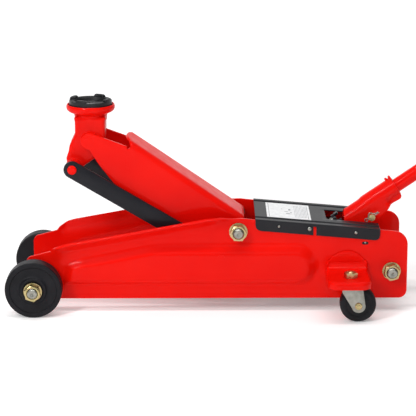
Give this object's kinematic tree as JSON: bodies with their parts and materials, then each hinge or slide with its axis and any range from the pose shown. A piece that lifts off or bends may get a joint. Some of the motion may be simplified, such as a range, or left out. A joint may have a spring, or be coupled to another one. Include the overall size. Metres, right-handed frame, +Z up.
{
  "type": "hydraulic floor jack",
  "caption": "Low hydraulic trolley jack with pressed side plates, parallel-link lift arm, swivelling casters and a long pump handle.",
  "frame": {"origin": "middle of the whole jack's length and width, handle included, on the floor", "axes": "+X towards the handle end, +Z up, the side plates lie in XZ on both sides of Y = 0"},
  "size_m": [1.4161, 0.272, 0.76],
  "materials": {
    "red_paint": "gloss",
    "red_cast": "gloss, slightly pebbled casting under the paint",
    "black_nylon": "satin, moulded",
    "black_paint": "satin",
    "black_sheet": "satin powder coat",
    "saddle_black": "black coated casting, satin",
    "label_white": "smooth film",
    "yellow_zinc": "yellow passivated zinc",
    "bright_zinc": "bright zinc",
    "ram_chrome": "ground and plated",
    "unit_cast": "dark painted casting",
    "grip_rubber": "matte"
  },
  "bodies": {
    "chassis": {"side_plate_left": "red_paint", "side_plate_right": "red_paint", "front_axle": "bright_zinc", "front_axle_washers": "yellow_zinc", "front_axle_nuts": "yellow_zinc", "front_wheel_spacers": "bright_zinc", "lift_arm_shaft": "bright_zinc", "lift_arm_shaft_nuts": "yellow_zinc", "lift_arm_spacers": "bright_zinc", "link_pivot_pins": "red_paint", "rear_cross_bolt": "bright_zinc", "rear_cross_bolt_nuts": "yellow_zinc", "cover_plate": "black_sheet", "cover_label": "label_white", "cover_screws": "bright_zinc", "pump_block": "unit_cast", "block_locating_pins": "bright_zinc", "ram_cylinder": "unit_cast", "gland_nut": "bright_zinc", "return_spring_left": "bright_zinc", "return_spring_right": "bright_zinc", "filler_plug": "unit_cast", "relief_valve_cap": "yellow_zinc", "socket_pivot_pin": "yellow_zinc", "socket_split_pins": "bright_zinc", "caster_bracket_left": "red_paint", "caster_bracket_right": "red_paint", "caster_swivel_bolts": "yellow_zinc", "caster_bearings": "bright_zinc"},
    "front_wheel_left": {"front_wheel_left": "black_nylon"},
    "front_wheel_right": {"front_wheel_right": "black_nylon"},
    "lift_arm": {"lift_arm": "red_paint", "arm_crank_pin": "bright_zinc", "saddle_arm_pin": "red_paint"},
    "link_bars": {"link_bar_left": "black_paint", "link_bar_right": "black_paint"},
    "saddle_bracket": {"saddle_bracket": "red_cast", "saddle_link_pin": "red_paint"},
    "saddle": {"saddle": "saddle_black"},
    "ram": {"ram_rod": "ram_chrome", "ram_crosshead": "bright_zinc"},
    "release_valve": {"release_spindle": "bright_zinc", "release_yoke": "black_paint"},
    "pump_plunger": {"pump_plunger": "ram_chrome", "plunger_cap": "bright_zinc"},
    "handle_socket": {"handle_socket": "red_paint", "roller_pin": "bright_zinc", "handle_set_screw": "red_paint"},
    "pump_roller": {"pump_roller": "bright_zinc"},
    "handle": {"handle_drive_yoke": "black_paint", "handle_lower_tube": "red_paint", "handle_upper_tube": "red_paint", "handle_lock_button": "bright_zinc", "handle_grip": "grip_rubber"},
    "caster_fork_left": {"caster_fork_left": "bright_zinc", "caster_rivet_left": "yellow_zinc"},
    "caster_fork_right": {"caster_fork_right": "bright_zinc", "caster_rivet_right": "yellow_zinc"},
    "caster_wheel_left": {"caster_wheel_left": "black_nylon"},
    "caster_wheel_right": {"caster_wheel_right": "black_nylon"}
  },
  "joints": [
    {"name": "front_wheel_left_spin", "type": "hinge", "parent": "chassis", "child": "front_wheel_left", "pos_m": [-0.66635, -0.0816, 0.0417], "axis": [0, 1, 0], "continuous": true},
    {"name": "caster_left_swivel", "type": "hinge", "parent": "chassis", "child": "caster_fork_left", "pos_m": [-0.20535, -0.107, 0.05], "axis": [0, 0, 1], "continuous": true},
    {"name": "caster_left_spin", "type": "hinge", "parent": "caster_fork_left", "child": "caster_wheel_left", "pos_m": [-0.19435, -0.107, 0.0264], "axis": [0, 1, 0], "continuous": true},
    {"name": "front_wheel_right_spin", "type": "hinge", "parent": "chassis", "child": "front_wheel_right", "pos_m": [-0.66635, 0.0816, 0.0417], "axis": [0, 1, 0], "continuous": true},
    {"name": "caster_right_swivel", "type": "hinge", "parent": "chassis", "child": "caster_fork_right", "pos_m": [-0.20535, 0.107, 0.05], "axis": [0, 0, 1], "continuous": true},
    {"name": "caster_right_spin", "type": "hinge", "parent": "caster_fork_right", "child": "caster_wheel_right", "pos_m": [-0.19435, 0.107, 0.0264], "axis": [0, 1, 0], "continuous": true},
    {"name": "lift_arm_pivot", "type": "hinge", "parent": "chassis", "child": "lift_arm", "pos_m": [-0.36705, 0, 0.1214], "axis": [0, 1, 0], "range_deg": [-42, 30]},
    {"name": "link_bars_pivot", "type": "hinge", "parent": "chassis", "child": "link_bars", "pos_m": [-0.39215, 0, 0.0825], "axis": [0, 1, 0], "range_deg": [-42, 30]},
    {"name": "saddle_bracket_pivot", "type": "hinge", "parent": "lift_arm", "child": "saddle_bracket", "pos_m": [-0.584, 0, 0.25098], "axis": [0, 1, 0], "range_deg": [-30, 42]},
    {"name": "saddle_turn", "type": "hinge", "parent": "saddle_bracket", "child": "saddle", "pos_m": [-0.5835, 0, 0.29098], "axis": [0, 0, 1], "continuous": true},
    {"name": "ram_stroke", "type": "slide", "parent": "chassis", "child": "ram", "axis": [-1, 0, 0], "range_m": [-0.0315, 0.0225], "deforming": ["return_spring_left", "return_spring_right"]},
    {"name": "handle_pump", "type": "hinge", "parent": "chassis", "child": "handle_socket", "pos_m": [-0.16915, 0, 0.1338], "axis": [0, -1, 0], "range_deg": [0, 40]},
    {"name": "pump_roller_spin", "type": "hinge", "parent": "handle_socket", "child": "pump_roller", "pos_m": [-0.16915, 0, 0.0918], "axis": [0, 1, 0], "continuous": true},
    {"name": "pump_plunger_stroke", "type": "slide", "parent": "chassis", "child": "pump_plunger", "axis": [1, 0, 0], "range_m": [0, 0.027]},
    {"name": "handle_twist", "type": "hinge", "parent": "handle_socket", "child": "handle", "pos_m": [-0.17625, 0, 0.14409], "axis": [0.8231, 0, 0.5678], "range_deg": [0, 180]},
    {"name": "release_valve_turn", "type": "hinge", "parent": "chassis", "child": "release_valve", "pos_m": [-0.23035, 0, 0.118], "axis": [0.8231, 0, 0.5678], "range_deg": [0, 180]}
  ],
  "couplings": [
    {"joint": "link_bars_pivot", "follows": "lift_arm_pivot", "ratio": 1},
    {"joint": "saddle_bracket_pivot", "follows": "lift_arm_pivot", "ratio": -1},
    {"joint": "ram_stroke", "follows": "lift_arm_pivot", "m_per_rad": 0.04296},
    {"joint": "pump_plunger_stroke", "follows": "handle_pump", "m_per_rad": 0.0386},
    {"joint": "release_valve_turn", "follows": "handle_twist", "ratio": 1}
  ]
}
